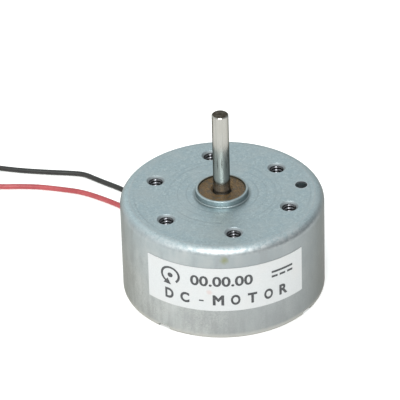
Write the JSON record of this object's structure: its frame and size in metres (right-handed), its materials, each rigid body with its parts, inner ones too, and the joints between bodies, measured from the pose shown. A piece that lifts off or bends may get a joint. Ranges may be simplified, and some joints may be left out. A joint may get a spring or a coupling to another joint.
{
  "type": "small brushed dc motor",
  "caption": "Flat round-can brushed DC motor with a plain output shaft, bronze bearing in a raised boss, tapped mounting face and two flying leads.",
  "frame": {"origin": "on the shaft's axis, in the plane of the can's open edge, on which the motor stands", "axes": "+Z along the shaft towards its output end; +X through the plain locating hole in the mounting face"},
  "size_m": [0.0508, 0.0461, 0.0236],
  "materials": {
    "zinc_plated_steel": "satin zinc plate, faintly mottled",
    "sintered_bronze": "matte, oily, mottled brown",
    "label_paper": "smooth white paper with dark grey print",
    "bonded_ferrite": "matte dark grey",
    "natural_nylon": "translucent white, satin",
    "holder_resin": "moulded black, fine grain",
    "rubber_pad": "matte",
    "spring_bronze": "rolled phosphor bronze, satin",
    "solder_tin": "bright, slightly grainy",
    "ground_shaft_steel": "ground and polished",
    "silicon_steel": "blued sheet, matte",
    "insulator_film": "pressed fibre board",
    "enamelled_copper": "varnished wire, glossy",
    "commutator_copper": "turned copper",
    "varistor_ceramic": "fired matte",
    "black_pvc": "extruded PVC, soft sheen",
    "red_pvc": "extruded PVC, soft sheen",
    "tie_plastic": "flat paper-covered tie, matte"
  },
  "bodies": {
    "stator": {"brush_black": "spring_bronze", "brush_dampers": "rubber_pad", "brush_holder": "holder_resin", "brush_red": "spring_bronze", "end_cover": "zinc_plated_steel", "front_bearing": "sintered_bronze", "housing_can": "zinc_plated_steel", "label": "label_paper", "lead_black": "black_pvc", "lead_black_coil": "black_pvc", "lead_black_core": "solder_tin", "lead_black_tail": "black_pvc", "lead_black_tip": "solder_tin", "lead_red": "red_pvc", "lead_red_coil": "red_pvc", "lead_red_core": "solder_tin", "lead_red_tail": "red_pvc", "lead_red_tip": "solder_tin", "lead_tie": "tie_plastic", "magnet_ring": "bonded_ferrite", "rear_bearing": "sintered_bronze", "solder_black": "solder_tin", "solder_red": "solder_tin", "terminal_black": "spring_bronze", "terminal_red": "spring_bronze", "thrust_pad": "natural_nylon"},
    "rotor": {"shaft": "ground_shaft_steel", "core_lamination_1": "silicon_steel", "core_lamination_2": "silicon_steel", "core_lamination_3": "silicon_steel", "core_lamination_4": "silicon_steel", "core_lamination_5": "silicon_steel", "core_lamination_6": "silicon_steel", "core_lamination_7": "silicon_steel", "core_lamination_8": "silicon_steel", "front_insulator": "insulator_film", "rear_insulator": "insulator_film", "armature_coil_1": "enamelled_copper", "armature_coil_2": "enamelled_copper", "armature_coil_3": "enamelled_copper", "commutator_segment_1": "commutator_copper", "commutator_segment_2": "commutator_copper", "commutator_segment_3": "commutator_copper", "commutator_hub": "holder_resin", "commutator_ring": "holder_resin", "varistor_disc": "varistor_ceramic", "riser_solder": "solder_tin", "winding_ends": "enamelled_copper", "rear_washer": "natural_nylon", "front_spacer": "natural_nylon"}
  },
  "joints": [
    {"name": "rotor_spin", "type": "hinge", "parent": "stator", "child": "rotor", "pos_m": [0, 0, 0.0125], "axis": [0, 0, 1], "continuous": true}
  ]
}
